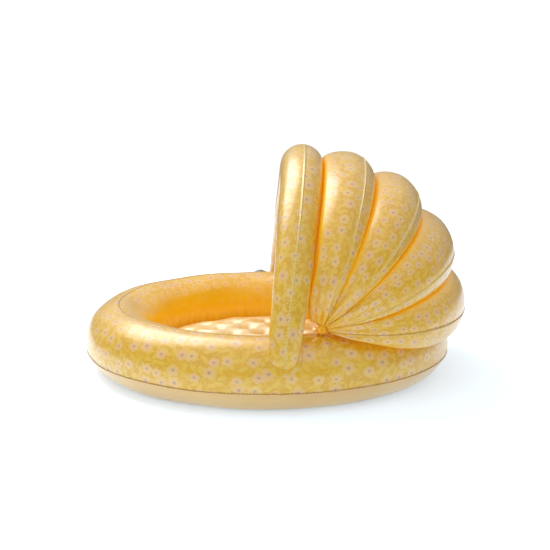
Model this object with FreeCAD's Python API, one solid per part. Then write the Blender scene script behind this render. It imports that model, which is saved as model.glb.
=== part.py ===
import FreeCAD, Part
import math
import os

# Inflatable paddling pool with a scallop-shell sun canopy, millimetres.
# Origin: centre of the ring, on the ground. +X to the canopy's back, +Z up.
# The pool is welded from vinyl film. FILM is thicker than the real 0.3 mm
# film, so that each welded panel is a closed solid of its own.

# ring
RING_OUTER_RADIUS = 500.0
TUBE_RADIUS = 92.0
GROUND_SQUASH = 4.0
FILM = 3.0
OUTER_SEAM_DROP = 30.0
INNER_SEAM_DROP = 43.0
SEAM_LIP = 5.0
SEAM_LIP_HALF = 1.2

# inflated floor
FLOOR_HEIGHT = 88.0

# front arch
ARCH_FOOT_X = 40.0
ARCH_FOOT_LIFT = 22.0
ARCH_FOOT_OVERHANG = -2.0
ARCH_RISE = 503.0
ARCH_LEAN = 7.2
ARCH_TOP_RADIUS = 58.0
ARCH_FOOT_RADIUS = 40.0

# fan of canopy ribs, which turn about the gather axis (parallel to Y)
GATHER_X = 137.0
GATHER_LIFT = 15.0
GATHER_SETOUT = 18.0
GATHER_RADIUS = 24.0
GATHER_LENGTH = 34.0
CREST_REACH = 404.0
BULGE_CENTRE = 110.0
RIB_END_RADIUS = 10.0
RIB_SWELL = 0.8
RIB_START = 0.02
RING_CLEARANCE = 4.0
SHOULDER = 62.0
FILM_SHARE = 0.4
# name, angle of the tube's centre from vertical, tube radius, angle of the crest seam
RIBS = (
    ("rib_1", 14.0, 75.0, 18.5),
    ("rib_2", 37.5, 86.0, 43.0),
    ("rib_3", 63.2, 102.0, 69.5),
    ("rib_4", 90.0, 102.0, 92.2),
)
# angles of the flat contacts between the ribs; the last is under rib_4
VALLEYS = (25.0, 49.5, 76.8, 104.9)
# rib_1 leans on the back of the arch, and its ends are fuller on that side
ARCH_GAP = 0.5
FRONT_FULLNESS = 0.8
FULLNESS_REACH = 90.0

# patch under each foot of the arch
PATCH_MARGIN = 5.0
PATCH_DROP = 10.0
PATCH_THICKNESS = 1.2

# air valves, each a moulded set of seat, stem, plug and flap (sizes for scale 1)
SEAT_RADIUS = 16.0
SEAT_DEPTH = 7.0
SEAT_PROUD = 1.2
STEM_RADIUS = 9.0
STEM_CLEARANCE = 0.05
STEM_TRAVEL = 10.0
STEM_RIM_RADIUS = 11.5
STEM_RIM_HEIGHT = 1.5
STEM_LIP_RADIUS = 11.0
STEM_LIP_HEIGHT = 1.5
STOP_GAP = 0.5
BORE_RADIUS = 4.5
GAP = 0.3
PLUG_RADIUS = 7.5
PLUG_CAP_HEIGHT = 2.0
PLUG_STUB_RADIUS = 3.0
PLUG_STUB_LENGTH = 5.0
STRAP_THICKNESS = 1.2
STRAP_WIDTH = 5.0
PLUG_HINGE_X = 12.5
FLAP_RADIUS = 6.5
FLAP_THICKNESS = 0.8
FLAP_HINGE_X = 7.2

RING_VALVE_SCALE = 1.25
RING_VALVE_AZIMUTH = 93.2
RING_VALVE_TILT = 70.0
FLOOR_VALVE_X = -150.0
FLOOR_VALVE_Y = -165.0
CANOPY_VALVE_ARC = 20.0
CANOPY_VALVE_TURN = 50.0

# worked out from the sizes above
TUBE_CENTRE_R = RING_OUTER_RADIUS - TUBE_RADIUS
TUBE_Z = TUBE_RADIUS - GROUND_SQUASH
RING_TOP = TUBE_Z + TUBE_RADIUS
OUTER_SEAM_Z = TUBE_Z - OUTER_SEAM_DROP
INNER_SEAM_Z = TUBE_Z - INNER_SEAM_DROP
INNER_SEAM_R = TUBE_CENTRE_R - math.sqrt(TUBE_RADIUS ** 2 - INNER_SEAM_DROP ** 2)
GATHER_Z = RING_TOP + GATHER_LIFT
GATHER_Y = math.sqrt(TUBE_CENTRE_R ** 2 - GATHER_X ** 2) + GATHER_SETOUT
FAR = 2.0 * (RING_OUTER_RADIUS + CREST_REACH)
RIB_SECTIONS = 17
RIB_FACETS = 9
ARCH_SECTIONS = 15

V = FreeCAD.Vector


def on_ring_plane(r, z):
    return V(r, 0.0, z)


def face_of(points):
    """Flat face with straight sides through the points."""
    return Part.Face(Part.makePolygon(list(points) + [points[0]]))


def revolved(face):
    return face.revolve(V(0, 0, 0), V(0, 0, 1), 360.0)


def tube_disc(radius, floor_z):
    """Cross-section of the ring's tube, cut flat at floor_z."""
    circle = Part.Circle(on_ring_plane(TUBE_CENTRE_R, TUBE_Z), V(0, 1, 0), radius)
    disc = Part.Face(Part.Wire(circle.toShape()))
    low, high = TUBE_CENTRE_R - 2 * radius, TUBE_CENTRE_R + 2 * radius
    above = face_of([
        on_ring_plane(low, floor_z),
        on_ring_plane(high, floor_z),
        on_ring_plane(high, TUBE_Z + 2 * radius),
        on_ring_plane(low, TUBE_Z + 2 * radius),
    ])
    return disc.common(above)


def ring_solid(extra=0.0):
    """The whole tube as one solid, grown by extra."""
    return revolved(tube_disc(TUBE_RADIUS + extra, -extra)).Solids[0]


def ray_point(drop, side, reach):
    """Point on the ray from the tube's centre through a seam, reach from the centre."""
    run = math.sqrt(TUBE_RADIUS ** 2 - drop ** 2)
    return on_ring_plane(
        TUBE_CENTRE_R + side * reach * run / TUBE_RADIUS,
        TUBE_Z - reach * drop / TUBE_RADIUS,
    )


def lip_face(above):
    """Half of the weld lip at the outer seam, above or below the seam."""
    run = math.sqrt(TUBE_RADIUS ** 2 - OUTER_SEAM_DROP ** 2)
    along = V(run / TUBE_RADIUS, 0, -OUTER_SEAM_DROP / TUBE_RADIUS)
    across = V(-along.z, 0, along.x) * (SEAM_LIP_HALF if above else -SEAM_LIP_HALF)
    start = ray_point(OUTER_SEAM_DROP, 1, TUBE_RADIUS - FILM)
    end = start + along * (FILM + SEAM_LIP)
    return face_of([start, end, end + across, start + across])


def ring_panels():
    """Outer and inner printed panels and the plain band under them."""
    skin = tube_disc(TUBE_RADIUS, 0.0).cut(tube_disc(TUBE_RADIUS - FILM, FILM))
    centre = on_ring_plane(TUBE_CENTRE_R, TUBE_Z)
    top = on_ring_plane(TUBE_CENTRE_R, TUBE_Z + 3 * TUBE_RADIUS)
    outer_ray = ray_point(OUTER_SEAM_DROP, 1, 3 * TUBE_RADIUS)
    inner_ray = ray_point(INNER_SEAM_DROP, -1, 3 * TUBE_RADIUS)
    outer_corner = on_ring_plane(outer_ray.x, top.z)
    inner_corner = on_ring_plane(inner_ray.x, top.z)
    below_outer = on_ring_plane(outer_ray.x, -TUBE_RADIUS)
    below_inner = on_ring_plane(inner_ray.x, -TUBE_RADIUS)
    outer = skin.common(face_of([centre, top, outer_corner, outer_ray]))
    inner = skin.common(face_of([centre, top, inner_corner, inner_ray]))
    band = skin.common(face_of([centre, outer_ray, below_outer, below_inner, inner_ray]))
    return {
        "ring_outer_panel": revolved(outer).fuse(revolved(lip_face(True))).removeSplitter(),
        "ring_inner_panel": revolved(inner),
        "ring_bottom_band": revolved(band).fuse(revolved(lip_face(False))).removeSplitter(),
    }


def floor_face(inset):
    """Half section of the floor chamber: flat, with a rounded lower rim."""
    rim = INNER_SEAM_R - inset
    low = inset
    high = FLOOR_HEIGHT - inset
    round_r = INNER_SEAM_Z - inset
    hub = rim - round_r
    slant = math.sqrt(0.5)
    a = V(0, 0, low)
    b = V(hub, 0, low)
    mid = V(hub + round_r * slant, 0, INNER_SEAM_Z - round_r * slant)
    c = V(rim, 0, INNER_SEAM_Z)
    d = V(rim, 0, high)
    e = V(0, 0, high)
    edges = [
        Part.LineSegment(a, b).toShape(),
        Part.Arc(b, mid, c).toShape(),
        Part.LineSegment(c, d).toShape(),
        Part.LineSegment(d, e).toShape(),
        Part.LineSegment(e, a).toShape(),
    ]
    return Part.Face(Part.Wire(edges))


def floor_sheets():
    """Upper and lower sheet of the inflated floor, parted at the inner seam."""
    outside = revolved(floor_face(0.0)).cut(ring_solid())
    air = revolved(floor_face(FILM)).cut(ring_solid(FILM))
    skin = outside.cut(air)
    size = 2 * RING_OUTER_RADIUS
    half = Part.makeBox(size, size, size, V(-size / 2, -size / 2, INNER_SEAM_Z))
    return {"floor_top_sheet": skin.common(half), "floor_bottom_sheet": skin.cut(half)}


def section(centre, outward, across, radius):
    """Circle in the plane of outward and across, its seam on the outward side."""
    circle = Part.Wire(Part.makeCircle(radius))
    along = outward.cross(across)
    circle.Placement = FreeCAD.Placement(centre, FreeCAD.Rotation(outward, across, along, "ZXY"))
    return circle


def arch_frame(arc):
    """Outermost point, inward direction and height axis of the arch at an angle.

    The outer edge is half an ellipse in a plane that leans back: angle 0 is
    the near foot, 90 the top and 180 the far foot.
    """
    lean = math.radians(ARCH_LEAN)
    up = V(math.sin(lean), 0, math.cos(lean))
    half_width = RING_OUTER_RADIUS + ARCH_FOOT_OVERHANG
    t = math.radians(arc)
    foot = V(ARCH_FOOT_X, 0, TUBE_Z + ARCH_FOOT_LIFT)
    crest = foot + V(0, -half_width * math.cos(t), 0) + up * (ARCH_RISE * math.sin(t))
    inward = V(0, ARCH_RISE * math.cos(t), 0) - up * (half_width * math.sin(t))
    inward.normalize()
    return crest, inward, up


def arch_radius(arc):
    """Tube radius: full at the top, slimmer at the feet."""
    return ARCH_FOOT_RADIUS + (ARCH_TOP_RADIUS - ARCH_FOOT_RADIUS) * math.sin(math.radians(arc))


def arch_tube(inset):
    """The arch as a solid tube, shrunk by inset all round."""
    wires = []
    for i in range(ARCH_SECTIONS):
        arc = 180.0 * i / (ARCH_SECTIONS - 1)
        crest, inward, up = arch_frame(arc)
        radius = arch_radius(arc)
        wires.append(section(crest + inward * radius, -inward, V(0, 1, 0).cross(up), radius - inset))
    return Part.makeLoft(wires, True, False)


def arch_panels():
    """Front and rear panel of the arch, parted at the crest seam."""
    crest, inward, up = arch_frame(90.0)
    rear_half = Part.makeBox(FAR, 2 * FAR, 2 * FAR)
    corner = crest - V(0, FAR, 0) - up * FAR
    rear_half.Placement = FreeCAD.Placement(corner, FreeCAD.Rotation(V(0, 1, 0), ARCH_LEAN))
    skin = arch_tube(0.0).cut(ring_solid())
    air = arch_tube(FILM).cut(ring_solid(FILM))
    shell = skin.cut(air)
    return {"arch_front_panel": shell.cut(rear_half), "arch_rear_panel": shell.common(rear_half)}


def arch_back_x(z):
    """X of the arch's rearmost skin at a height."""
    lean = math.radians(ARCH_LEAN)
    rise = (z - TUBE_Z - ARCH_FOOT_LIFT) / math.cos(lean)
    growth = (ARCH_TOP_RADIUS - ARCH_FOOT_RADIUS) / (ARCH_RISE - ARCH_TOP_RADIUS)
    return ARCH_FOOT_X + rise * math.sin(lean) + (ARCH_FOOT_RADIUS + rise * growth) / math.cos(lean)


def fan_direction(angle):
    """Unit vector from the gather axis, angle from vertical towards +X."""
    return V(math.sin(math.radians(angle)), 0, math.cos(math.radians(angle)))


def crest_point(t):
    """Point on a rib's crest and the outward direction there, as (outwards, sideways).

    The crest is an ellipse arc that bulges past the gathers, where it ends.
    """
    depth = CREST_REACH - BULGE_CENTRE
    width = GATHER_Y / math.sqrt(1.0 - (BULGE_CENTRE / depth) ** 2)
    start = math.asin(-BULGE_CENTRE / depth)
    p = start + (math.pi - 2 * start) * t
    normal = V(math.sin(p) / depth, -math.cos(p) / width, 0).normalize()
    return V(BULGE_CENTRE + depth * math.sin(p), -width * math.cos(p), 0), normal


def rib_radius(top_radius, t):
    """Tube radius of a rib: full at the top, gathered thin at both ends."""
    swell = math.sin(math.pi * t) ** RIB_SWELL
    return RIB_END_RADIUS + (top_radius - RIB_END_RADIUS) * swell


def ring_limit_z(x, y):
    """Height that clears the ring over a point: its round top, then a straight shoulder."""
    offset = abs(math.hypot(x, y) - TUBE_CENTRE_R)
    at = min(offset, SHOULDER)
    height = math.sqrt(TUBE_RADIUS ** 2 - at ** 2)
    return TUBE_Z + height - (offset - at) * at / height + RING_CLEARANCE


def front_limit(angle, low, reach):
    """How far a rib may go forward from its middle plane: to the valley or the arch."""
    if low is not None:
        return reach * math.tan(math.radians(angle - low))
    slope = arch_back_x(GATHER_Z + 1.0) - arch_back_x(GATHER_Z)
    ahead = GATHER_X - arch_back_x(GATHER_Z) - ARCH_GAP
    turn = math.radians(angle)
    run = math.sin(turn) - slope * math.cos(turn)
    return (ahead + reach * run) / (math.cos(turn) + slope * math.sin(turn))


def rib_outline(rib, t, turns, inset):
    """Points round one section of a rib, square to its crest, shrunk by inset.

    turns are angles round the tube from its outward side, positive towards the
    back. The sides are flat where they press on the next ribs or on the ring.
    """
    angle, top_radius, low, high = rib
    fullness = FRONT_FULLNESS if low is None else 0.0
    out = fan_direction(angle)
    across = fan_direction(angle + 90.0)
    flat_point, flat_normal = crest_point(t)
    radius = rib_radius(top_radius, t)
    points = []
    for turn in turns:
        u = radius - (radius - inset) * math.cos(math.radians(turn))
        v = (radius - inset) * math.sin(math.radians(turn))
        if turn < 0:
            v *= 1.0 + fullness * math.exp(-(flat_point.x / FULLNESS_REACH) ** 2)
        reach = flat_point.x - flat_normal.x * u
        side = flat_point.y - flat_normal.y * u
        back = reach * math.tan(math.radians(high - angle))
        front = front_limit(angle, low, reach)
        if high > 90.0:
            back = min(back, GATHER_Z - ring_limit_z(GATHER_X + reach, side))
        back -= min(inset, FILM_SHARE * back)
        front -= min(inset, FILM_SHARE * front)
        v = max(-front, min(back, v))
        points.append(V(GATHER_X, side, GATHER_Z) + out * reach + across * v)
    return points


def rib_panel(rib, seam_turn, direction):
    """One printed panel of a rib: from its crest seam round to its inner seam."""
    steps = [seam_turn + (direction * 180.0 - seam_turn) * i / RIB_FACETS for i in range(RIB_FACETS + 1)]
    wires = []
    for i in range(RIB_SECTIONS):
        t = RIB_START + (1.0 - 2 * RIB_START) * i / (RIB_SECTIONS - 1)
        loop = rib_outline(rib, t, steps, 0.0) + rib_outline(rib, t, steps, FILM)[::-1]
        wires.append(Part.makePolygon(loop + [loop[0]]))
    return Part.makeLoft(wires, True, True)


def rib_panels():
    """Front and rear panel of each rib; neighbours meet at the valleys."""
    panels = {}
    for i, (name, angle, radius, seam) in enumerate(RIBS):
        rib = (angle, radius, VALLEYS[i - 1] if i else None, VALLEYS[i])
        shift = CREST_REACH * math.tan(math.radians(seam - angle))
        seam_turn = math.degrees(math.asin(shift / radius))
        panels[name + "_front_panel"] = rib_panel(rib, seam_turn, -1)
        panels[name + "_rear_panel"] = rib_panel(rib, seam_turn, 1)
    return panels


def gathers():
    """The two bunched and welded ends of the fan, on top of the ring."""
    found = {}
    for name, side in (("near", -1), ("far", 1)):
        middle = side * (GATHER_Y - RIB_END_RADIUS)
        start = V(GATHER_X, middle - GATHER_LENGTH / 2, GATHER_Z)
        bar = Part.makeCylinder(GATHER_RADIUS, GATHER_LENGTH, start, V(0, 1, 0))
        found["gather_" + name] = bar.cut(ring_solid())
    return found


def foot_patches():
    """Weld patch on the ring around each foot of the arch."""
    found = {}
    layer = ring_solid(PATCH_THICKNESS).cut(ring_solid())
    arch = arch_tube(0.0)
    for name, arc in (("near", 0.0), ("far", 180.0)):
        crest, inward, up = arch_frame(arc)
        start = crest + inward * ARCH_FOOT_RADIUS - up * PATCH_DROP
        drum = Part.makeCylinder(ARCH_FOOT_RADIUS + PATCH_MARGIN, 2 * TUBE_RADIUS, start, up)
        found["arch_foot_patch_" + name] = layer.common(drum).cut(arch)
    return found


def valve_parts(size):
    """Seat, stem, plug and flap of one valve, about its own axis (+Z outwards)."""
    rim_low = SEAT_PROUD * size + GAP
    rim_top = rim_low + STEM_RIM_HEIGHT * size
    lip_top = -(SEAT_DEPTH + STEM_TRAVEL) * size - STOP_GAP
    stem_end = lip_top - STEM_LIP_HEIGHT * size
    bore = BORE_RADIUS * size
    hole = STEM_RADIUS * size + STEM_CLEARANCE
    stem = tube_piece(STEM_RADIUS * size, bore, stem_end, rim_top)
    stem = stem.fuse(tube_piece(STEM_RIM_RADIUS * size, bore, rim_low, rim_top))
    stem = stem.fuse(tube_piece(STEM_LIP_RADIUS * size, bore, stem_end, lip_top))
    cap_low = rim_top + GAP
    stub_low = cap_low - PLUG_STUB_LENGTH * size
    plug = Part.makeCylinder(PLUG_RADIUS * size, PLUG_CAP_HEIGHT * size, V(0, 0, cap_low))
    plug = plug.fuse(Part.makeCylinder(PLUG_STUB_RADIUS * size, cap_low - stub_low, V(0, 0, stub_low)))
    plug = plug.fuse(strap(PLUG_HINGE_X * size, STRAP_WIDTH * size, cap_low, STRAP_THICKNESS * size))
    flap_low = stem_end - GAP - FLAP_THICKNESS * size
    flap = Part.makeCylinder(FLAP_RADIUS * size, FLAP_THICKNESS * size, V(0, 0, flap_low))
    flap = flap.fuse(strap(FLAP_HINGE_X * size, STRAP_WIDTH * size, flap_low, FLAP_THICKNESS * size))
    return {
        "seat": tube_piece(SEAT_RADIUS * size, hole, -SEAT_DEPTH * size, SEAT_PROUD * size),
        "stem": stem.removeSplitter(),
        "plug": plug.removeSplitter(),
        "flap": flap.removeSplitter(),
    }, cap_low + STRAP_THICKNESS * size / 2, flap_low + FLAP_THICKNESS * size / 2


def tube_piece(outer, inner, low, high):
    """Round tube along the valve's axis."""
    start = V(0, 0, low)
    return Part.makeCylinder(outer, high - low, start).cut(Part.makeCylinder(inner, high - low, start))


def strap(hinge_x, width, low, thickness):
    """Flat strap from the axis to a rounded end about its hinge line."""
    flat = Part.makeBox(hinge_x, width, thickness, V(0, -width / 2, low))
    start = V(hinge_x, -width / 2, low + thickness / 2)
    return flat.fuse(Part.makeCylinder(thickness / 2, width, start, V(0, 1, 0)))


def ring_valve_place():
    """Point and outward direction on the ring's outer panel, beyond its crest."""
    tilt, turn = math.radians(RING_VALVE_TILT), math.radians(RING_VALVE_AZIMUTH)
    r = TUBE_CENTRE_R + TUBE_RADIUS * math.cos(tilt)
    point = V(r * math.cos(turn), r * math.sin(turn), TUBE_Z + TUBE_RADIUS * math.sin(tilt))
    out = V(math.cos(tilt) * math.cos(turn), math.cos(tilt) * math.sin(turn), math.sin(tilt))
    return point, out


def canopy_valve_place():
    """Point and outward direction on the front panel of the arch's far leg."""
    crest, inward, up = arch_frame(180.0 - CANOPY_VALVE_ARC)
    radius = arch_radius(180.0 - CANOPY_VALVE_ARC)
    turn = math.radians(CANOPY_VALVE_TURN)
    forward = V(-up.z, 0, up.x)
    out = inward * -math.cos(turn) + forward * math.sin(turn)
    return crest + inward * radius + out * radius, out


def place_on(point, out):
    """Stands the valve's axis along out, its hinge lines level."""
    side = V(0, 0, 1).cross(out)
    if side.Length < 0.01:
        side = V(0, 1, 0)
    side.normalize()
    return FreeCAD.Placement(point, FreeCAD.Rotation(side.cross(out), side, out, "ZXY"))


def valves():
    """The three valves in place, and the hole that each needs in its panel."""
    on_floor = (V(FLOOR_VALVE_X, FLOOR_VALVE_Y, FLOOR_HEIGHT), V(0, 0, 1))
    sites = {
        "ring_valve": (ring_valve_place(), RING_VALVE_SCALE, "ring_outer_panel"),
        "floor_valve": (on_floor, 1.0, "floor_top_sheet"),
        "canopy_valve": (canopy_valve_place(), 1.0, "arch_front_panel"),
    }
    made, holes = {}, {}
    for name, ((point, out), size, panel) in sites.items():
        place = place_on(point, out)
        pieces, plug_hinge_z, flap_hinge_z = valve_parts(size)
        for piece, shape in pieces.items():
            shape.Placement = place
            made[name + "_" + piece] = shape
        start = point - out * (2 * SEAT_DEPTH * size)
        holes[panel] = Part.makeCylinder(SEAT_RADIUS * size, 4 * SEAT_DEPTH * size, start, out)
        print(name, "axis", out, "hinge line", place.Rotation.multVec(V(0, 1, 0)))
        print("  plug hinge at", place.multVec(V(PLUG_HINGE_X * size, 0, plug_hinge_z)))
        print("  flap hinge at", place.multVec(V(FLAP_HINGE_X * size, 0, flap_hinge_z)))
    return made, holes


def main():
    nodes = {}
    nodes.update(ring_panels())
    nodes.update(floor_sheets())
    nodes.update(arch_panels())
    nodes.update(rib_panels())
    nodes.update(gathers())
    nodes.update(foot_patches())
    made, holes = valves()
    for panel, hole in holes.items():
        nodes[panel] = nodes[panel].cut(hole)
    nodes.update(made)
    for name, shape in nodes.items():
        print(name, len(shape.Solids), shape.isValid(), round(shape.Volume / 1000.0, 1))
        shape.exportStep("parts/" + name + ".step")


main()
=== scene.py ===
import math

import bmesh
import bpy
import numpy as np
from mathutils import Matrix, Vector


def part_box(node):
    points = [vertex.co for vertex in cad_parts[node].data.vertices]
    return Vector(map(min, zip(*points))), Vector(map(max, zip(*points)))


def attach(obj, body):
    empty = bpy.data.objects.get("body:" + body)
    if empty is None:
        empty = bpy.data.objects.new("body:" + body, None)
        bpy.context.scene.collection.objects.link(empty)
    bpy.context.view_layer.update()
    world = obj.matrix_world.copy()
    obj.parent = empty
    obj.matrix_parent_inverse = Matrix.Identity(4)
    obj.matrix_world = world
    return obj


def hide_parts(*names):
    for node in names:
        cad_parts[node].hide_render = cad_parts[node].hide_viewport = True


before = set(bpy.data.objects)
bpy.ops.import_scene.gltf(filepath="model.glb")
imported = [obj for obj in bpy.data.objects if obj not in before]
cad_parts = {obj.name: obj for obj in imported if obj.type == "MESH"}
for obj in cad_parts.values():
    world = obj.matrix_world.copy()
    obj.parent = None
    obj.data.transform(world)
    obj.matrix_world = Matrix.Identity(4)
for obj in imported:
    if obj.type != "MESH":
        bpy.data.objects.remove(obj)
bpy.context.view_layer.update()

# An inflated vinyl paddling pool with a scallop-shell canopy. Metres, in the
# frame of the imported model: +X to the canopy's back, +Z up.

MM = 0.001
FILM = 0.45 * MM

# ---- sizes read from the frame ----
_, inner_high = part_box("ring_inner_panel")
gather_low, gather_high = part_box("gather_far")
floor_low, floor_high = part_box("floor_top_sheet")

RING_TOP = inner_high.z
TUBE_CENTRE_R = inner_high.x
RING_OUTER_R = 0.5
TUBE_RADIUS = RING_OUTER_R - TUBE_CENTRE_R
TUBE_Z = RING_TOP - TUBE_RADIUS
OUTER_SEAM_DROP = 30 * MM
INNER_SEAM_DROP = 43 * MM
OUTER_SEAM_ANGLE = -math.asin(OUTER_SEAM_DROP / TUBE_RADIUS)
INNER_SEAM_ANGLE = math.pi + math.asin(INNER_SEAM_DROP / TUBE_RADIUS)
INNER_SEAM_Z = floor_low.z
INNER_SEAM_R = floor_high.x
FLOOR_TOP = floor_high.z

GATHER_X = (gather_low.x + gather_high.x) / 2
GATHER_RADIUS = (gather_high.x - gather_low.x) / 2
GATHER_Z = gather_high.z - GATHER_RADIUS
GATHER_Y = math.sqrt(TUBE_CENTRE_R ** 2 - GATHER_X ** 2) + 18 * MM

# ---- the canopy, as the CAD part has it ----
CREST_REACH = 0.404
BULGE_CENTRE = 0.110
RIB_END_RADIUS = 0.010
RIB_SWELL = 0.8
# name, tube angle from vertical, tube radius, crest seam angle (degrees)
RIBS = (
    ("rib_1", 14.0, 0.075, 18.5),
    ("rib_2", 37.5, 0.086, 43.0),
    ("rib_3", 63.2, 0.102, 69.5),
    ("rib_4", 90.0, 0.102, 92.2),
)
VALLEYS = (None, 25.0, 49.5, 76.8, 104.9)
RING_CLEARANCE = 0.002
RING_SHOULDER = 0.062
FRONT_FULLNESS = 1.1
FULLNESS_REACH = 0.110

ARCH_FOOT = np.array([0.040, 0.0, TUBE_Z + 0.022])
ARCH_LEAN = math.radians(7.2)
ARCH_HALF_WIDTH = 0.501
ARCH_RISE = 0.504
ARCH_TOP_RADIUS = 0.058
ARCH_FOOT_RADIUS = 0.040
FOOT_CAP = 0.024
PRESS = 0.0045

SIDE = np.array([0.0, 1.0, 0.0])


# ---------------------------------------------------------------- surfaces
def smooth_limit(value, limit, power=20.0):
    """value, rounded off so that its size never passes limit (a p-norm of the two)."""
    size = np.maximum(np.abs(value), 1e-9)
    return np.sign(value) * (size ** -power + limit ** -power) ** (-1.0 / power)


def ripples(along, seed, waves=6, coarse=8.0):
    """Smooth unrepeating waves of about unit height: a sum of sines of seeded pitch and phase."""
    rng = np.random.default_rng(seed)
    total = np.zeros_like(along)
    for _ in range(waves):
        total += np.sin(along * coarse * rng.uniform(0.6, 1.7) + rng.uniform(0, 2 * math.pi))
    return total / math.sqrt(waves)


HOLE_SHARE = 0.66
LIP_HEIGHT = 2.0 * MM
LIP_ROWS = np.array([1.0, 0.7, 0.3])


def valve_hub(name):
    """Centre, axis and hole radius of a valve, from the flat round seat that it stands on."""
    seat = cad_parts[name + "_valve_seat"].data
    points = np.array([tuple(v.co) for v in seat.vertices])
    centre = (points.min(0) + points.max(0)) / 2
    axis = np.linalg.svd(points - centre, full_matrices=False)[2][-1]
    reach = points - centre
    reach = np.linalg.norm(reach - np.outer(reach @ axis, axis), axis=1).max()
    return centre, axis, HOLE_SHARE * reach


VALVE_HUBS = [valve_hub(name) for name in ("ring", "floor", "canopy")]


def open_and_close(mesh):
    """Cuts the hole under each valve's seat, and merges the points where a grid closes to a point."""
    work = bmesh.new()
    work.from_mesh(mesh)
    bmesh.ops.remove_doubles(work, verts=work.verts, dist=1e-6)
    holes = []
    for face in work.faces:
        middle = np.array(face.calc_center_median())
        for centre, axis, radius in VALVE_HUBS:
            reach = middle - centre
            if reach @ reach < 4 * radius ** 2:
                rise = reach @ axis
                if abs(rise) < radius and reach @ reach - rise ** 2 < radius ** 2:
                    holes.append(face)
    bmesh.ops.delete(work, geom=holes, context="FACES")
    work.to_mesh(mesh)
    work.free()


def surface(name, points, uv, film=FILM, wrap_u=False, wrap_v=False, shade=None, weld=None, flip=False):
    """A mesh over a grid of points, with its UV in metres, thickened inwards to film.

    shade (0 to 1) is painted shade: how deep in a valley, crease or hollow a point lies,
    where the colour is painted deep orange. weld is above 0 on a pale welded edge, partly
    its own tone and partly a painted highlight where its lip catches the light, and below 0 on a dark one.
    """
    rows, cols = points.shape[:2]
    i = np.arange(rows if wrap_u else rows - 1)
    j = np.arange(cols if wrap_v else cols - 1)
    i, j = np.meshgrid(i, j, indexing="ij")
    i, j = i.ravel(), j.ravel()
    i2, j2 = i + 1, j + 1
    corners = np.stack([i * cols + j, (i2 % rows) * cols + j,
                        (i2 % rows) * cols + j2 % cols, i * cols + j2 % cols], 1)
    grid_uv = np.stack([uv[i, j], uv[i2, j], uv[i2, j2], uv[i, j2]], 1)
    if flip:
        corners, grid_uv = corners[:, ::-1], grid_uv[:, ::-1]
    mesh = bpy.data.meshes.new(name)
    mesh.vertices.add(rows * cols)
    mesh.vertices.foreach_set("co", points.reshape(-1).astype(np.float32))
    mesh.loops.add(corners.size)
    mesh.loops.foreach_set("vertex_index", corners.reshape(-1).astype(np.int32))
    mesh.polygons.add(len(corners))
    mesh.polygons.foreach_set("loop_start", np.arange(0, corners.size, 4, dtype=np.int32))
    mesh.polygons.foreach_set("use_smooth", np.ones(len(corners), bool))
    mesh.update(calc_edges=True)
    layer = mesh.uv_layers.new(name="print")
    layer.data.foreach_set("uv", grid_uv.reshape(-1).astype(np.float32))
    for label, values in (("painted_shade", shade), ("weld", weld)):
        if values is None:
            values = np.zeros(points.shape[:2])
        attribute = mesh.attributes.new(label, "FLOAT", "POINT")
        attribute.data.foreach_set("value", values.reshape(-1).astype(np.float32))
    open_and_close(mesh)
    piece = bpy.data.objects.new(name, mesh)
    bpy.context.scene.collection.objects.link(piece)
    if film:
        wall = piece.modifiers.new("film", "SOLIDIFY")
        wall.thickness = film
        wall.offset = -1.0
        wall.use_even_offset = False
    return piece


def finish_piece(piece, material, slot, *nodes):
    """Gives the piece its material and body, and hides the CAD nodes that it stands for; slot is not used.
    """
    piece.data.materials.append(material)
    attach(piece, "pool")
    if nodes:
        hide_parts(*nodes)
    return piece


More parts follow.
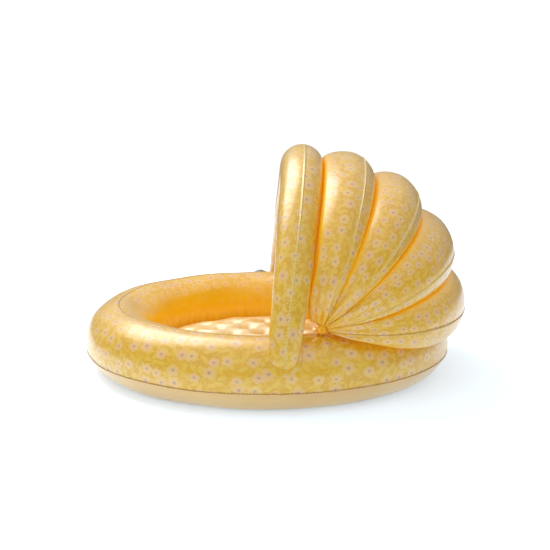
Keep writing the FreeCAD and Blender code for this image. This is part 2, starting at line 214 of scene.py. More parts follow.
# ---------------------------------------------------------------- materials
class Nodes:
    """Short calls for a material's node tree."""

    def __init__(self, name):
        self.material = bpy.data.materials.new(name)
        self.material.use_nodes = True
        self.tree = self.material.node_tree
        self.shader = self.tree.nodes["Principled BSDF"]

    def add(self, kind, **values):
        node = self.tree.nodes.new(kind)
        for key, value in values.items():
            setattr(node, key, value)
        return node

    def put(self, socket, value):
        if isinstance(value, bpy.types.NodeSocket):
            self.tree.links.new(value, socket)
        else:
            socket.default_value = value

    def math(self, operation, *values):
        node = self.add("ShaderNodeMath", operation=operation)
        for socket, value in zip(node.inputs, values):
            self.put(socket, value)
        return node.outputs[0]

    def vector(self, operation, *values):
        node = self.add("ShaderNodeVectorMath", operation=operation)
        for socket, value in zip(node.inputs, values):
            self.put(socket, value)
        return node.outputs["Value"] if operation in ("LENGTH", "DOT_PRODUCT") else node.outputs[0]

    def scale(self, vector, factor):
        node = self.add("ShaderNodeVectorMath", operation="SCALE")
        self.put(node.inputs[0], vector)
        self.put(node.inputs["Scale"], factor)
        return node.outputs[0]

    def split(self, vector):
        node = self.add("ShaderNodeSeparateXYZ")
        self.put(node.inputs[0], vector)
        return node.outputs

    def ramp(self, value, low, high):
        """0 at low to 1 at high, eased."""
        node = self.add("ShaderNodeMapRange", interpolation_type="SMOOTHSTEP")
        self.put(node.inputs["Value"], value)
        self.put(node.inputs["From Min"], low)
        self.put(node.inputs["From Max"], high)
        return node.outputs["Result"]

    def mix(self, factor, first, second):
        node = self.add("ShaderNodeMix", data_type="RGBA")
        self.put(node.inputs[0], factor)
        self.put(node.inputs[6], first)
        self.put(node.inputs[7], second)
        return node.outputs[2]

    def cells(self, vector, randomness):
        """Nearest scattered point: (offset from it, its random colour)."""
        node = self.add("ShaderNodeTexVoronoi", voronoi_dimensions="2D", feature="F1")
        self.put(node.inputs["Vector"], vector)
        node.inputs["Scale"].default_value = 1.0
        node.inputs["Randomness"].default_value = randomness
        return self.vector("SUBTRACT", vector, node.outputs["Position"]), node.outputs["Color"]

    def noise(self, vector, scale, detail=2.0, kind="3D"):
        node = self.add("ShaderNodeTexNoise", noise_dimensions=kind)
        self.put(node.inputs["Vector"], vector)
        node.inputs["Scale"].default_value = scale
        node.inputs["Detail"].default_value = detail
        return node.outputs["Fac"]

    def bump(self, height, distance, strength=1.0, after=None):
        node = self.add("ShaderNodeBump")
        self.put(node.inputs["Height"], height)
        node.inputs["Distance"].default_value = distance
        node.inputs["Strength"].default_value = strength
        if after is not None:
            self.put(node.inputs["Normal"], after)
        return node.outputs["Normal"]


def colour(red, green, blue):
    """sRGB out of 255 as linear RGBA."""
    parts = [c / 255.0 for c in (red, green, blue)]
    return tuple(c / 12.92 if c <= 0.04045 else ((c + 0.055) / 1.055) ** 2.4 for c in parts) + (1.0,)


GOLD = colour(232, 173, 6)
GOLD_DEEP = colour(226, 166, 4)
PETAL = colour(240, 193, 110)
PETAL_PINK = colour(236, 182, 120)
LILAC = colour(188, 146, 130)
LEAF = colour(236, 188, 64)
LEAF_FILL = colour(238, 188, 48)
# painted shade: the deep orange painted into valleys, creases and hollows where light is shut out
PAINTED_SHADE_ORANGE = colour(252, 199, 8)
# pale weld: partly the weld's own knurled tone and partly a painted highlight where the proud lip catches
# the light
WELD_PALE_AND_HIGHLIGHT = colour(255, 222, 122)
WELD_DARK = colour(178, 126, 40)
GLOW = colour(255, 178, 10)

FLOWER_PITCH = 0.041
LEAF_PITCH = 0.0215
SPRIG_PITCH = 0.0150
DOT_PITCH = 0.0080
DASH_PITCH = 0.0075
GLOW_STRENGTH = 0.13


def vinyl_finish(n, roughness):
    """Glossy soft film: a clear sheen over a translucent body, with a painted glow where the painted shade
    lies.

    The painted glow is emission that stands for the light that comes through the film from behind.
    """
    painted_shade = n.add("ShaderNodeAttribute", attribute_name="painted_shade").outputs["Fac"]
    # painted glow: emission strength grows with the painted shade mask
    n.put(n.shader.inputs["Emission Strength"], n.math("MULTIPLY", painted_shade, GLOW_STRENGTH))
    n.shader.inputs["Roughness"].default_value = roughness
    n.shader.inputs["IOR"].default_value = 1.54
    n.shader.inputs["Coat Weight"].default_value = 0.75
    n.shader.inputs["Emission Color"].default_value = GLOW
    n.shader.inputs["Coat Roughness"].default_value = 0.3
    n.shader.inputs["Subsurface Weight"].default_value = 0.15
    n.shader.inputs["Subsurface Radius"].default_value = (1.0, 0.45, 0.12)
    n.shader.inputs["Subsurface Scale"].default_value = 0.012


def fine_creases(n, position):
    """Soft handling marks in the film, as a bump of two noises."""
    broad = n.noise(position, 9.0, 3.0)
    fine = n.noise(position, 160.0, 2.0)
    return n.bump(fine, 0.00010, 0.2, n.bump(broad, 0.003, 0.3))


def leaf_shape(n, uv, pitch, long, wide, randomness):
    """(oval, vein, random): an ellipse of squared size oval, bowed and turned at random."""
    leaf, leaf_colour = n.cells(n.scale(uv, 1.0 / pitch), randomness)
    leaf_random = n.split(leaf_colour)
    rotate = n.add("ShaderNodeVectorRotate", rotation_type="Z_AXIS")
    n.put(rotate.inputs["Vector"], leaf)
    n.put(rotate.inputs["Angle"], n.math("MULTIPLY", leaf_random[0], 2 * math.pi))
    lx, ly, _ = n.split(rotate.outputs[0])
    bow = n.math("SUBTRACT", ly, n.math("MULTIPLY", n.math("MULTIPLY", lx, lx), 0.45))
    oval = n.math("ADD", n.math("POWER", n.math("DIVIDE", n.math("ABSOLUTE", lx), long), 2.0),
                  n.math("POWER", n.math("DIVIDE", n.math("ABSOLUTE", bow), wide), 2.0))
    vein = n.math("MULTIPLY", n.ramp(n.math("ABSOLUTE", bow), 0.045, 0.015), n.ramp(oval, 1.0, 0.8))
    return oval, vein, leaf_random


def with_painted_shade_and_welds(n, uv, plain):
    """Colour of the film with painted shade, a deep orange in its valleys, creases and hollows, and its
    welded edges marked in short dashes.

    The welded edge is paler than the film where weld is positive, partly its own tone and partly a painted
    highlight where its lip catches the light, and darker where it is negative.
    """
    painted_shade = n.add("ShaderNodeAttribute", attribute_name="painted_shade").outputs["Fac"]
    # painted shade: the deep orange is mixed in where the painted shade mask is high
    deepened = n.mix(n.math("MULTIPLY", painted_shade, 0.9), plain, PAINTED_SHADE_ORANGE)
    weld = n.add("ShaderNodeAttribute", attribute_name="weld").outputs["Fac"]
    along = n.split(uv)[0]
    dash = n.ramp(n.math("SINE", n.math("MULTIPLY", along, 2 * math.pi / DASH_PITCH)), -0.6, 0.4)
    strength = n.math("ADD", 0.45, n.math("MULTIPLY", dash, 0.5))
    # pale welds: partly their own tone and partly a painted highlight on the lip
    paler = n.mix(n.math("MULTIPLY", n.math("MAXIMUM", weld, 0.0), strength), deepened, WELD_PALE_AND_HIGHLIGHT)
    darker = n.math("MULTIPLY", n.math("MAXIMUM", n.math("MULTIPLY", weld, -1.0), 0.0), strength)
    return n.mix(darker, paler, WELD_DARK)


def flower_print():
    """Golden film printed all over with pale flowers, leaves, sprigs and dots.

    Each motif sits on the nearest of a set of scattered points of the UV plane,
    which is in metres: petals are a cosine of the angle about the point, leaves
    are an ellipse turned at random, dots are small discs.
    """
    n = Nodes("printed_vinyl")
    uv = n.add("ShaderNodeUVMap", uv_map="print").outputs[0]
    position = n.add("ShaderNodeTexCoord").outputs["Object"]
    wander = n.noise(position, 14.0, 2.0)
    ground = n.mix(n.ramp(wander, 0.35, 0.65), GOLD, GOLD_DEEP)

    # dots
    spot, spot_colour = n.cells(n.scale(uv, 1.0 / DOT_PITCH), 1.0)
    spot_random = n.split(spot_colour)
    kept = n.math("LESS_THAN", spot_random[0], 0.5)
    dot = n.math("MULTIPLY", n.ramp(n.vector("LENGTH", spot), 0.30, 0.18), kept)
    ground = n.mix(n.math("MULTIPLY", dot, 0.8), ground, LEAF)

    # sprigs and leaves
    oval, _, _ = leaf_shape(n, n.vector("ADD", uv, (0.37, 0.11, 0.0)), SPRIG_PITCH, 0.46, 0.12, 1.0)
    ground = n.mix(n.math("MULTIPLY", n.ramp(oval, 1.15, 0.8), 0.85), ground, LEAF)
    oval, vein, _ = leaf_shape(n, uv, LEAF_PITCH, 0.50, 0.235, 0.85)
    ground = n.mix(n.ramp(oval, 1.12, 0.9), ground, LEAF)
    ground = n.mix(n.ramp(oval, 0.62, 0.4), ground, LEAF_FILL)
    ground = n.mix(vein, ground, LEAF)

    # flowers
    bloom, bloom_colour = n.cells(n.scale(uv, 1.0 / FLOWER_PITCH), 0.62)
    bloom_random = n.split(bloom_colour)
    bx, by, _ = n.split(bloom)
    distance = n.vector("LENGTH", bloom)
    angle = n.math("ADD", n.math("ARCTAN2", by, bx), n.math("MULTIPLY", bloom_random[0], 6.28))
    lobe = n.math("POWER", n.math("ABSOLUTE", n.math("COSINE", n.math("MULTIPLY", angle, 2.5))), 0.5)
    size = n.math("ADD", 0.30, n.math("MULTIPLY", bloom_random[1], 0.13))
    reach = n.math("MULTIPLY", size, n.math("ADD", 0.62, n.math("MULTIPLY", lobe, 0.38)))
    ratio = n.math("DIVIDE", distance, reach)
    grain = n.math("MULTIPLY", n.math("ABSOLUTE", n.math("SINE", n.math("MULTIPLY", angle, 12.5))), 0.5)
    petal = n.mix(bloom_random[2], PETAL, PETAL_PINK)
    petal = n.mix(n.math("MULTIPLY", n.ramp(ratio, 0.25, 0.9), grain), petal, LEAF)
    middle = n.ramp(n.math("DIVIDE", distance, size), 0.36, 0.12)
    petal = n.mix(n.math("MULTIPLY", middle, 0.85), petal, LILAC)
    printed = n.mix(n.ramp(ratio, 1.06, 0.94), ground, petal)

    n.put(n.shader.inputs["Base Color"], with_painted_shade_and_welds(n, uv, printed))
    n.put(n.shader.inputs["Normal"], fine_creases(n, position))
    vinyl_finish(n, 0.32)
    return n.material


def plain_film(name, base, deep, roughness):
    """Unprinted film, its colour drifting slowly between two near tones, with painted shade deepened to
    orange where the painted shade mask lies.
    """
    n = Nodes(name)
    position = n.add("ShaderNodeTexCoord").outputs["Object"]
    uv = n.add("ShaderNodeUVMap", uv_map="print").outputs[0]
    tone = n.mix(n.ramp(n.noise(position, 5.0, 3.0), 0.3, 0.7), base, deep)
    n.put(n.shader.inputs["Base Color"], with_painted_shade_and_welds(n, uv, tone))
    n.put(n.shader.inputs["Normal"], fine_creases(n, position))
    vinyl_finish(n, roughness)
    return n.material


def valve_vinyl():
    """Milky, faintly teal moulded vinyl, thinner and clearer in places."""
    n = Nodes("valve_vinyl")
    position = n.add("ShaderNodeTexCoord").outputs["Object"]
    cloud = n.ramp(n.noise(position, 120.0, 2.0), 0.3, 0.7)
    n.put(n.shader.inputs["Base Color"], n.mix(cloud, colour(176, 202, 206), colour(206, 220, 220)))
    n.shader.inputs["Transmission Weight"].default_value = 0.12
    n.shader.inputs["Roughness"].default_value = 0.22
    n.shader.inputs["IOR"].default_value = 1.5
    n.put(n.shader.inputs["Normal"], n.bump(n.noise(position, 900.0, 1.0), 0.00005, 0.3))
    return n.material


PRINTED = flower_print()
PLAIN = plain_film("plain_vinyl", colour(232, 188, 118), colour(226, 178, 104), 0.3)
CREAM = plain_film("floor_vinyl", colour(250, 222, 160), colour(246, 210, 138), 0.32)
MOULDED = valve_vinyl()


# ---------------------------------------------------------------- ring
SOLE = 0.004


def ring_surface(turn, angle):
    """Points of the ring's skin: a torus that the ground flattens underneath.

    Small puckers run across the two lower seams, where the film is gathered,
    and die out round the tube. turn goes round the pool, angle round the tube
    from the outside, both in radians.
    """
    radius = np.full_like(turn, TUBE_RADIUS)
    outer_near = np.exp(-((angle - OUTER_SEAM_ANGLE) * TUBE_RADIUS / 0.022) ** 2)
    inner_near = np.exp(-((angle - INNER_SEAM_ANGLE) * TUBE_RADIUS / 0.045) ** 2)
    radius += outer_near * 0.0007 * ripples(turn, 11, 7, 95.0)
    radius += inner_near * 0.0016 * ripples(turn, 12, 7, 60.0)
    radius += 0.0009 * ripples(turn + 0.4 * np.sin(angle), 13, 5, 7.0)
    r = TUBE_CENTRE_R + radius * np.cos(angle)
    z = TUBE_Z + radius * np.sin(angle)
    z = np.where(z < SOLE, SOLE * np.exp((z - SOLE) / SOLE), z)
    # the gathers of the canopy pull the film into short folds round them
    x, y = r * np.cos(turn), r * np.sin(turn)
    for sign in (-1, 1):
        dx, dy = x - GATHER_X, y - sign * (GATHER_Y - 0.008)
        distance = np.hypot(dx, dy)
        spokes = np.cos(9.0 * np.arctan2(dy, dx) + sign)
        z = z + np.where(z > TUBE_Z, 1, 0) * (0.0022 * spokes * np.exp(-((distance - 0.035) / 0.02) ** 2))
    return np.stack([x, y, z], -1)


RING_STEPS = 720
TUBE_STEPS = 56
GAP = 0.0003 / TUBE_RADIUS
OUTER_LIP = 2.6 * MM
CREST_LIP = 0.6 * MM
WELD_TONE = {OUTER_LIP: -0.7, CREST_LIP: -0.15}


def ring_panel(name, start, end, lip_start, lip_end, material, slot, node):
    """One panel of the ring between two tube angles, its welded edges turned outwards as lips."""
    angle = np.linspace(start, end, TUBE_STEPS)
    turn = np.linspace(0, 2 * math.pi, RING_STEPS + 1)
    turn, angle = np.meshgrid(turn, angle, indexing="ij")
    points = ring_surface(turn, angle)
    rows = [points]
    rows_uv = [np.stack([turn * TUBE_CENTRE_R, angle * TUBE_RADIUS], -1)]
    for at_start, height in ((True, lip_start), (False, lip_end)):
        if not height:
            continue
        k = 0 if at_start else -1
        edge = points[:, k][:, None]
        a = angle[:, k][:, None]
        t = turn[:, k][:, None]
        out = np.stack([np.cos(a) * np.cos(t), np.cos(a) * np.sin(t), np.sin(a)], -1)
        wave = 1.0 + 0.12 * ripples(t, 21 + k, 5, 60.0)[..., None]
        along = np.array([0.35, 0.75, 1.0])[None, :, None]
        lip = edge + out * along * height * wave
        uv = np.stack([np.repeat(t * TUBE_CENTRE_R, 3, 1), a * TUBE_RADIUS + height * along[..., 0]], -1)
        if at_start:
            rows.insert(0, lip[:, ::-1])
            rows_uv.insert(0, uv[:, ::-1])
        else:
            rows.append(lip)
            rows_uv.append(uv)
    points, uv = np.concatenate(rows, 1), np.concatenate(rows_uv, 1)
    shade = np.zeros(points.shape[:2])
    # painted shade: the lower inner wall is painted deep orange, deepest near the floor, where only bounce
    # light reaches
    if node == "ring_inner_panel":
        shade[:, 3:] = 0.95 * np.clip((angle - 1.9) / 0.9, 0, 1)
    weld = np.zeros(points.shape[:2])
    if lip_start:
        weld[:, :4] = WELD_TONE[lip_start]
    if lip_end:
        weld[:, -4:] = WELD_TONE[lip_end]
    piece = surface(name, points[:-1], uv, wrap_u=True, shade=shade[:-1], weld=weld[:-1])
    return finish_piece(piece, material, slot, node)


ring_panel("ring_outer_skin", OUTER_SEAM_ANGLE + GAP, math.pi / 2 - GAP, OUTER_LIP, CREST_LIP,
           PRINTED, "printed_vinyl", "ring_outer_panel")
ring_panel("ring_inner_skin", math.pi / 2 + GAP, INNER_SEAM_ANGLE, CREST_LIP, 0,
           PRINTED, "printed_vinyl", "ring_inner_panel")
ring_panel("ring_bottom_skin", INNER_SEAM_ANGLE, 2 * math.pi + OUTER_SEAM_ANGLE - GAP, 0, OUTER_LIP,
           PLAIN, "plain_vinyl", "ring_bottom_band")


# ---------------------------------------------------------------- floor
WELD_PITCH = 0.090
WELD_OFFSET = (-0.008, 0.150)
WELD_MARGIN = 0.045
FLOOR_RIM_Z = 0.050
FLOOR_PUFF = 0.008
TOP_PIT = 0.030
BOTTOM_PIT = 0.022


def weld_distance(x, y):
    """Distance and direction to the nearest spot weld of a staggered grid."""
    rise = WELD_PITCH * math.sqrt(3) / 2
    best = np.full_like(x, 9.0)
    best_dx, best_dy = np.zeros_like(x), np.zeros_like(x)
    base_row = np.floor((y - WELD_OFFSET[1]) / rise)
    for dr in (0, 1):
        row = base_row + dr
        cy = WELD_OFFSET[1] + row * rise
        shift = WELD_OFFSET[0] + np.mod(row, 2) * WELD_PITCH / 2
        cx = shift + np.round((x - shift) / WELD_PITCH) * WELD_PITCH
        keep = np.hypot(cx, cy) < INNER_SEAM_R - WELD_MARGIN
        distance = np.where(keep, np.hypot(x - cx, y - cy), 9.0)
        nearer = distance < best
        best = np.where(nearer, distance, best)
        best_dx = np.where(nearer, x - cx, best_dx)
        best_dy = np.where(nearer, y - cy, best_dy)
    return best, np.arctan2(best_dy, best_dx)


def puffed(x, y, pit_depth, seed):
    """How far the floor stands up from its welds: 0 between them, down to -pit_depth at each.

    A weld is a round pit whose sides ease out over half the pitch, with short
    puckers that run out of it and a soft unevenness between the pits.
    """
    distance, direction = weld_distance(x, y)
    pit = np.exp(-(distance / (WELD_PITCH * 0.27)) ** 1.6)
    pucker = np.cos(direction * 6.0 + seed) * np.exp(-((distance - 0.019) / 0.010) ** 2)
    uneven = np.sin(x * 34.0 + 1.3 * np.sin(y * 21.0)) * np.sin(y * 29.0 + seed)
    return -pit_depth * pit + 0.0010 * pucker + 0.0018 * uneven


def floor_sheet(name, top, material, slot, node):
    """The upper or lower floor sheet: a disc that is puffed between its spot welds.

    Its rim is rounded and comes to the seam on the ring's inner wall.
    """
    rings, steps = 120, 340
    s = np.linspace(0.002, 1.0, rings) ** 0.9
    turn = np.linspace(0, 2 * math.pi, steps + 1)
    s, turn = np.meshgrid(s, turn, indexing="ij")
    rim_r = INNER_SEAM_R - 0.0015
    edge_round = 0.035 if top else INNER_SEAM_Z
    r = rim_r * s
    drop_start = rim_r - edge_round
    over = np.clip((r - drop_start) / edge_round, 0.0, 1.0)
    profile = np.sqrt(np.clip(1.0 - over ** 2, 0.0, 1.0))
    x, y = r * np.cos(turn), r * np.sin(turn)
    quiet = 1.0 - over ** 2
    if top:
        crown = np.clip(1.0 - s ** 2.6, 0.0, 1.0) ** 0.7
        rise = FLOOR_TOP + FLOOR_PUFF - FLOOR_RIM_Z
        z = FLOOR_RIM_Z + rise * crown + np.minimum(crown * 1.6, 1.0) * puffed(x, y, TOP_PIT, 0.0)
    else:
        lift = -quiet * puffed(x, y, BOTTOM_PIT, 1.3)
        z = INNER_SEAM_Z + (lift - INNER_SEAM_Z) * profile
        z = np.maximum(z, 0.0002)
    points = np.stack([x, y, z], -1)
    uv = np.stack([x, y], -1)
    distance, _ = weld_distance(x, y)
    # painted shade round each spot weld, partly the welds' own deeper tone and partly shade in their pits,
    # and painted shade towards the rim where the floor meets the wall
    shade = 0.9 * np.exp(-(distance / 0.016) ** 2) * quiet + 0.6 * over ** 3
    piece = surface(name, points[:, :-1], uv, film=FILM, wrap_v=True, shade=shade[:, :-1], flip=not top)
    close_middle(piece, steps, top)
    return finish_piece(piece, material, slot, node)


def close_middle(piece, steps, top):
    """Fills the small hole inside the first ring of points with one face."""
    mesh = piece.data
    count = len(mesh.loops)
    order = np.arange(steps, dtype=np.int32)
    order = order[::-1] if not top else order
    mesh.loops.add(steps)
    mesh.polygons.add(1)
    mesh.loops.foreach_set("vertex_index", np.concatenate([
        np.array([l.vertex_index for l in mesh.loops[:count]], np.int32), order]))
    mesh.polygons[-1].loop_start = count
    mesh.update(calc_edges=True)


floor_sheet("floor_top_skin", True, CREAM, "floor_vinyl", "floor_top_sheet")
floor_sheet("floor_bottom_skin", False, PLAIN, "plain_vinyl", "floor_bottom_sheet")


# ---------------------------------------------------------------- arch
def arch_surface(arc, turn):
    """Points of the arch's skin, a tapered tube whose outer edge is half an ellipse.

    In its last stretch, FOOT_CAP long, the tube closes to a rounded end. turn
    goes round the tube from its outward side, positive to the back.
    """
    inside = np.clip(arc, 0.0, math.pi)
    from_end = np.minimum(inside, math.pi - inside) * ARCH_RISE
    up = np.array([math.sin(ARCH_LEAN), 0, math.cos(ARCH_LEAN)])
    back = np.array([math.cos(ARCH_LEAN), 0, -math.sin(ARCH_LEAN)])
    crest = (ARCH_FOOT - SIDE * (ARCH_HALF_WIDTH * np.cos(inside))[..., None]
             + up * (ARCH_RISE * np.sin(inside))[..., None])
    inward = (SIDE * (ARCH_RISE * np.cos(inside))[..., None]
              - up * (ARCH_HALF_WIDTH * np.sin(inside))[..., None])
    inward /= np.linalg.norm(inward, axis=-1, keepdims=True)
    full = ARCH_FOOT_RADIUS + (ARCH_TOP_RADIUS - ARCH_FOOT_RADIUS) * np.sin(inside)
    cap = np.sqrt(np.clip(1.0 - (1.0 - np.minimum(from_end / FOOT_CAP, 1.0)) ** 2, 0.0, 1.0))
    pucker = np.clip(-np.cos(turn), 0, 1) ** 2 * 0.0016 * ripples(inside * 1.0, 31, 6, 42.0)
    radius = full * cap + pucker + 0.0006 * ripples(inside + 0.2 * np.sin(turn), 32, 5, 9.0)
    centre = crest + inward * full[..., None]
    behind = np.sin(turn) * radius
    behind = np.where(behind > 0, smooth_limit(behind, np.maximum(full - PRESS, 0.001)), behind)
    return centre - inward * (radius * np.cos(turn))[..., None] + back * behind[..., None], inward


def arch_panel(name, side, node):
    """Front (side -1) or back (+1) panel of the arch with its lip along the crest seam."""
    steps, around = 300, 34
    ends = FOOT_CAP / ARCH_RISE * (1.0 - np.cos(np.linspace(0, math.pi / 2, 10)))
    between = np.linspace(ends[-1], math.pi - ends[-1], steps)
    arc = np.concatenate([ends[:-1], between, math.pi - ends[-2::-1]])
    turn = side * np.linspace(0.0, math.pi, around)
    arc, turn = np.meshgrid(arc, turn, indexing="ij")
    points, inward = arch_surface(arc, turn)
    out = -inward[:, :1]
    along = LIP_ROWS[None, :, None]
    alive = np.clip((np.sin(np.clip(arc[:, :1], 0, math.pi)) * 12), 0, 1)[..., None]
    lip = points[:, :1] + out * along * LIP_HEIGHT * alive
    points = np.concatenate([lip, points], 1)
    v = np.concatenate([-side * 0.003 * LIP_ROWS, side * np.linspace(0, math.pi, around) * 0.05])
    u = arc[:, :1] * 0.45
    uv = np.stack([np.repeat(u, len(v), 1), np.repeat(v[None], len(u), 0)], -1) + 3.0
    shade = np.zeros(points.shape[:2])
    # painted shade: the back of the arch is painted deep orange in the valley where it presses on rib 1
    if side > 0:
        shade[:, 3:] = np.clip((np.sin(turn) - 0.78) / 0.2, 0, 1) ** 1.5
    weld = np.zeros(points.shape[:2])
    # pale weld along the crest seam, partly a painted highlight on its lip
    weld[:, :4] = 1.0
    piece = surface(name, points, uv, shade=shade, weld=weld, flip=side < 0)
    return finish_piece(piece, PRINTED, "printed_vinyl", node)


arch_panel("arch_front_skin", -1, "arch_front_panel")
arch_panel("arch_rear_skin", 1, "arch_rear_panel")


# ---------------------------------------------------------------- canopy ribs
def direction(angle):
    """Unit vector away from the gather axis, angle in degrees from vertical towards +X."""
    return np.array([math.sin(math.radians(angle)), 0.0, math.cos(math.radians(angle))])


def crest_curve(t):
    """Crest of a rib in its own plane: an ellipse arc from gather to gather, and its outward normal."""
    depth = CREST_REACH - BULGE_CENTRE
    width = GATHER_Y / math.sqrt(1.0 - (BULGE_CENTRE / depth) ** 2)
    start = math.asin(-BULGE_CENTRE / depth)
    p = start + (math.pi - 2 * start) * t
    normal = np.stack([np.sin(p) / depth, -np.cos(p) / width], -1)
    normal /= np.linalg.norm(normal, axis=-1, keepdims=True)
    return BULGE_CENTRE + depth * np.sin(p), -width * np.cos(p), normal


def ring_limit(x, y):
    """Height that clears the ring over a point: its round top, then a straight shoulder."""
    offset = np.abs(np.hypot(x, y) - TUBE_CENTRE_R)
    at = np.minimum(offset, RING_SHOULDER)
    height = np.sqrt(TUBE_RADIUS ** 2 - at ** 2)
    return TUBE_Z + height - (offset - at) * at / height + RING_CLEARANCE


def arch_back(z):
    """X of the arch's rearmost skin at a height."""
    rise = (z - ARCH_FOOT[2]) / math.cos(ARCH_LEAN)
    growth = (ARCH_TOP_RADIUS - ARCH_FOOT_RADIUS) / (ARCH_RISE - ARCH_TOP_RADIUS)
    radius = ARCH_FOOT_RADIUS + rise * growth
    return ARCH_FOOT[0] + rise * math.sin(ARCH_LEAN) + radius / math.cos(ARCH_LEAN)


def front_limit(angle, low, reach):
    """How far a rib may go forward from its middle plane: to the valley, or to the arch."""
    if low is not None:
        return reach * math.tan(math.radians(angle - low))
    slope = arch_back(GATHER_Z + 1.0) - arch_back(GATHER_Z)
    ahead = GATHER_X - arch_back(GATHER_Z) + PRESS
    turn = math.radians(angle)
    run = math.sin(turn) - slope * math.cos(turn)
    return (ahead + reach * run) / (math.cos(turn) + slope * math.sin(turn))


def rib_surface(rib, seed, t, turn):
    """Points of one rib's skin: a tube square to its crest, pressed flat against its neighbours.

    The sideways offset is limited by the valley planes, which all pass through
    the gather axis, and under the last rib by the ring. Folds run along the rib
    and grow towards the gathers.
    """
    name, angle, top_radius, seam, low, high = rib
    q, y, normal = crest_curve(t)
    radius = RIB_END_RADIUS + (top_radius - RIB_END_RADIUS) * np.sin(math.pi * t) ** RIB_SWELL
    near_end = np.exp(-q / 0.11)
    folds = 0.12 * near_end * np.cos(7.0 * turn + seed) + 0.08 * near_end * np.cos(13.0 * turn + 2.0 * seed)
    back_pucker = 0.022 * np.clip(-np.cos(turn), 0, 1) ** 2 * ripples(t * 3.0, 40 + seed, 6, 16.0)
    unevenness = 0.0007 * ripples(t * 3.0 + 0.3 * np.sin(turn), 50 + seed, 5, 3.0)
    size = radius * (1.0 + folds + back_pucker) + unevenness
    u = radius - size * np.cos(turn)
    v = size * np.sin(turn)
    if low is None:
        v = np.where(v < 0, v * (1.25 + FRONT_FULLNESS * np.exp(-(q / FULLNESS_REACH) ** 2)), v)
    reach = q - normal[..., 0] * u
    side = y - normal[..., 1] * u
    reach_safe = np.maximum(reach, 0.004)
    back = reach_safe * math.tan(math.radians(high - angle)) - 0.0006
    front = front_limit(angle, low, reach_safe) - 0.0006
    if high > 90:
        back = np.minimum(back, GATHER_Z - ring_limit(GATHER_X + reach, side))
    limit = np.maximum(np.where(v > 0, back, front), 0.0006)
    v_soft = smooth_limit(v, limit)
    spread = np.where(v > 0, 0.20, 0.42)
    press = 1.0 - np.clip((limit - np.abs(v_soft)) / (radius * spread), 0.0, 1.0)
    out, across = direction(angle), direction(angle + 90.0)
    hub = np.array([GATHER_X, 0.0, GATHER_Z])
    points = hub + out * reach[..., None] + SIDE * side[..., None] + across * v_soft[..., None]
    outward = out * normal[..., :1] + SIDE * normal[..., 1:]
    return points, outward, press


def rib_panel(rib, seed, side, node):
    """Front (side -1) or back (+1) panel of a rib, with its lip along the crest seam."""
    name, angle, top_radius, seam, low, high = rib
    seam_turn = math.asin(CREST_REACH * math.tan(math.radians(seam - angle)) / top_radius)
    steps, around = 240, 44
    t = np.linspace(0.012, 0.988, steps)
    turn = np.linspace(seam_turn, side * math.pi, around)
    t, turn = np.meshgrid(t, turn, indexing="ij")
    points, outward, press = rib_surface(rib, seed, t, turn)
    tangent = points[:, 1] - points[:, 0]
    spine = np.gradient(points[:, 0], axis=0)
    out = np.cross(tangent, spine)
    out /= np.linalg.norm(out, axis=-1, keepdims=True)
    out *= np.sign(np.sum(out * outward[:, 0], -1, keepdims=True))
    along = LIP_ROWS[None, :, None]
    lip = points[:, :1] + out[:, None] * along * LIP_HEIGHT
    points = np.concatenate([lip, points], 1)
    arc_length = np.cumsum(np.concatenate([[0], np.linalg.norm(np.diff(points[:, 3], axis=0), axis=-1)]))
    across_length = np.concatenate([[-0.003, -0.002, -0.001], np.abs(turn[0] - seam_turn) * top_radius])
    uv = np.stack([np.repeat(arc_length[:, None], around + 3, 1),
                   np.repeat(across_length[None] * side, steps, 0)], -1) + (1.0 + 2.0 * seed)
    q, _, _ = crest_curve(t)
    # painted shade: deep orange on the flanks towards the valleys where the rib presses on its neighbours,
    # and all over near the gathers
    flank = np.clip((0.93 - np.cos(turn)) / 0.25, 0, 1)
    shade = press ** 1.6 * flank + 0.8 * np.exp(-q / 0.03)
    shade = np.concatenate([np.zeros((steps, 3)), np.clip(shade, 0, 1)], 1)
    weld = np.zeros(points.shape[:2])
    # ribs 1 to 3 get pale welds, partly a painted highlight on the lip; rib 4's weld is darker
    weld[:, :4] = -0.3 if name == "rib_4" else 0.9
    piece = surface(node.replace("_panel", "_skin"), points, uv, shade=shade, weld=weld, flip=side < 0)
    return finish_piece(piece, PRINTED, "printed_vinyl", node)


for index, (name, angle, top_radius, seam) in enumerate(RIBS):
    rib = (name, angle, top_radius, seam, VALLEYS[index], VALLEYS[index + 1])
    rib_panel(rib, index, -1, name + "_front_panel")
    rib_panel(rib, index, 1, name + "_rear_panel")


# ---------------------------------------------------------------- gathers and patches
def gather(name, sign, node):
    """Bunched film where the ribs end: a flattened ball with deep folds that meet at its middle."""
    up_steps, steps = 60, 180
    polar = np.linspace(0.0, math.pi, up_steps)
    turn = np.linspace(0, 2 * math.pi, steps + 1)
    polar, turn = np.meshgrid(polar, turn, indexing="ij")
    folds = 1.0 + (0.20 * np.cos(11 * turn) + 0.10 * np.cos(19 * turn + 1.0)) * np.sin(polar) ** 1.5
    radius = (GATHER_RADIUS - 0.008) * folds
    dimple = 0.5 * np.exp(-(np.sin(polar) / 0.35) ** 2)
    x = GATHER_X + radius * np.sin(polar) * np.cos(turn)
    z = GATHER_Z + 0.001 + radius * np.sin(polar) * np.sin(turn)
    y = sign * (GATHER_Y - 0.008) + 0.014 * np.cos(polar) * (1 - dimple) * folds
    points = np.stack([x, y, z], -1)
    uv = np.stack([turn * 0.02, polar * 0.02], -1)
    # painted shade: deep orange over the bunch, deeper in the hollows between its folds
    shade = 0.70 - 0.3 * np.cos(11 * turn)
    piece = surface(name, points[:, :-1], uv, film=0, wrap_v=True, shade=shade[:, :-1], flip=True)
    return finish_piece(piece, PRINTED, "printed_vinyl", node)


gather("gather_near_bunch", -1, "gather_near")
gather("gather_far_bunch", 1, "gather_far")


PATCH_ANGLE = math.radians(40.0)
PATCH_LENGTH = 0.090
PATCH_WIDTH = 0.104


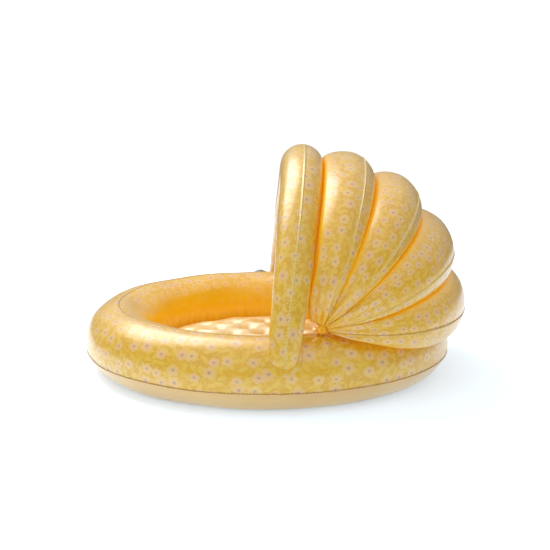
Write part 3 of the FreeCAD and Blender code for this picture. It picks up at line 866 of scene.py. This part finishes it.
def foot_patch(name, sign, node):
    """Oval weld patch that lies on the ring round a foot of the arch, with a rounded edge.

    It is shaped on the near side, and mirrored for the far one.
    """
    steps, rings = 120, 14
    s = np.concatenate([np.linspace(0.02, 0.97, rings - 3), [0.985, 0.995, 1.0]])
    lift = np.concatenate([np.full(rings - 3, 0.0011), [0.0010, 0.0006, -0.0002]])[:, None, None]
    turn = np.linspace(0, 2 * math.pi, steps + 1)
    s, turn = np.meshgrid(s, turn, indexing="ij")
    around = math.atan2(-0.46, ARCH_FOOT[0]) + s * np.cos(turn) * PATCH_LENGTH / 2 / 0.46
    tube = PATCH_ANGLE + s * np.sin(turn) * PATCH_WIDTH / 2 / TUBE_RADIUS
    base = ring_surface(around, tube)
    normal = np.stack([np.cos(tube) * np.cos(around), np.cos(tube) * np.sin(around), np.sin(tube)], -1)
    points = base + normal * lift
    points[..., 1] *= -sign
    uv = np.stack([around * 0.46, tube * TUBE_RADIUS], -1)
    piece = surface(name, points[:, :-1], uv, wrap_v=True, flip=sign < 0)
    close_middle(piece, steps, sign > 0)
    return finish_piece(piece, PRINTED, "printed_vinyl", node)


foot_patch("arch_foot_patch_near_skin", -1, "arch_foot_patch_near")
foot_patch("arch_foot_patch_far_skin", 1, "arch_foot_patch_far")

# ---------------------------------------------------------------- valves
for node_name, node_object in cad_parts.items():
    if "_valve_" in node_name:
        node_object.data.materials.clear()
        node_object.data.materials.append(MOULDED)


# ---------------------------------------------------------------- scene
def ground():
    """Plain pale floor."""
    mesh = bpy.data.meshes.new("ground")
    mesh.from_pydata([(-2.6, -2.6, 0), (2.6, -2.6, 0), (2.6, 2.6, 0), (-2.6, 2.6, 0)], [], [(0, 1, 2, 3)])
    piece = bpy.data.objects.new("ground", mesh)
    bpy.context.scene.collection.objects.link(piece)
    n = Nodes("pale_floor")
    n.shader.inputs["Base Color"].default_value = (0.90, 0.95, 0.98, 1)
    n.shader.inputs["Emission Color"].default_value = (0.52, 0.74, 1.0, 1)
    n.shader.inputs["Emission Strength"].default_value = 0.46
    n.shader.inputs["Roughness"].default_value = 0.9
    n.shader.inputs["Specular IOR Level"].default_value = 0.1
    piece.data.materials.append(n.material)


def lamp(name, place, aim, size, power, tint=(1, 1, 1)):
    """Soft rectangular studio light at place, pointing at aim."""
    data = bpy.data.lights.new(name, "AREA")
    data.shape = "RECTANGLE"
    data.size, data.size_y = size
    data.energy = power
    data.color = tint
    lamp_object = bpy.data.objects.new(name, data)
    lamp_object.location = place
    lamp_object.rotation_euler = (Vector(aim) - Vector(place)).to_track_quat("-Z", "Y").to_euler()
    bpy.context.scene.collection.objects.link(lamp_object)


def studio():
    """White room: a plain white background over softer light from all round, brighter above."""
    world = bpy.data.worlds.new("studio")
    world.use_nodes = True
    tree = world.node_tree
    light = tree.nodes["Background"]
    light.inputs["Strength"].default_value = 0.87
    backdrop = tree.nodes.new("ShaderNodeBackground")
    backdrop.inputs["Strength"].default_value = 1.05
    chooser = tree.nodes.new("ShaderNodeMixShader")
    ray = tree.nodes.new("ShaderNodeLightPath")
    high = tree.nodes.new("ShaderNodeMapRange")
    split = tree.nodes.new("ShaderNodeSeparateXYZ")
    coordinate = tree.nodes.new("ShaderNodeTexCoord")
    tree.links.new(coordinate.outputs["Generated"], split.inputs[0])
    tree.links.new(split.outputs["Z"], high.inputs["Value"])
    high.inputs["From Min"].default_value = 0.0
    high.inputs["From Max"].default_value = 1.0
    high.inputs["To Min"].default_value = 0.26
    high.inputs["To Max"].default_value = 1.27
    tree.links.new(high.outputs["Result"], light.inputs["Color"])
    backdrop.inputs["Color"].default_value = (1.0, 1.0, 1.0, 1.0)
    tree.links.new(ray.outputs["Is Camera Ray"], chooser.inputs[0])
    tree.links.new(light.outputs[0], chooser.inputs[1])
    tree.links.new(backdrop.outputs[0], chooser.inputs[2])
    tree.links.new(chooser.outputs[0], tree.nodes["World Output"].inputs["Surface"])
    bpy.context.scene.world = world


ground()
lamp("key", (-1.35, 1.3, 2.6), (0.05, 0.0, 0.2), (2.2, 2.2), 60)
lamp("fill", (-1.6, -2.8, 1.8), (0.05, 0.0, 0.2), (2.0, 2.0), 7)

studio()
bpy.context.scene.view_settings.view_transform = "Standard"

CAMERA_TARGET = Vector((0.022, 0.0, 0.252))
CAMERA_RISE = math.radians(11.3)
CAMERA_DISTANCE = 3.5
camera = bpy.data.objects.new("camera", bpy.data.cameras.new("camera"))
away = Vector((0.0, -math.cos(CAMERA_RISE), math.sin(CAMERA_RISE)))
camera.location = CAMERA_TARGET + away * CAMERA_DISTANCE
camera.rotation_euler = (-away).to_track_quat("-Z", "Y").to_euler()
camera.data.sensor_width = 36.0
camera.data.lens = 83.0
bpy.context.scene.collection.objects.link(camera)
bpy.context.scene.camera = camera
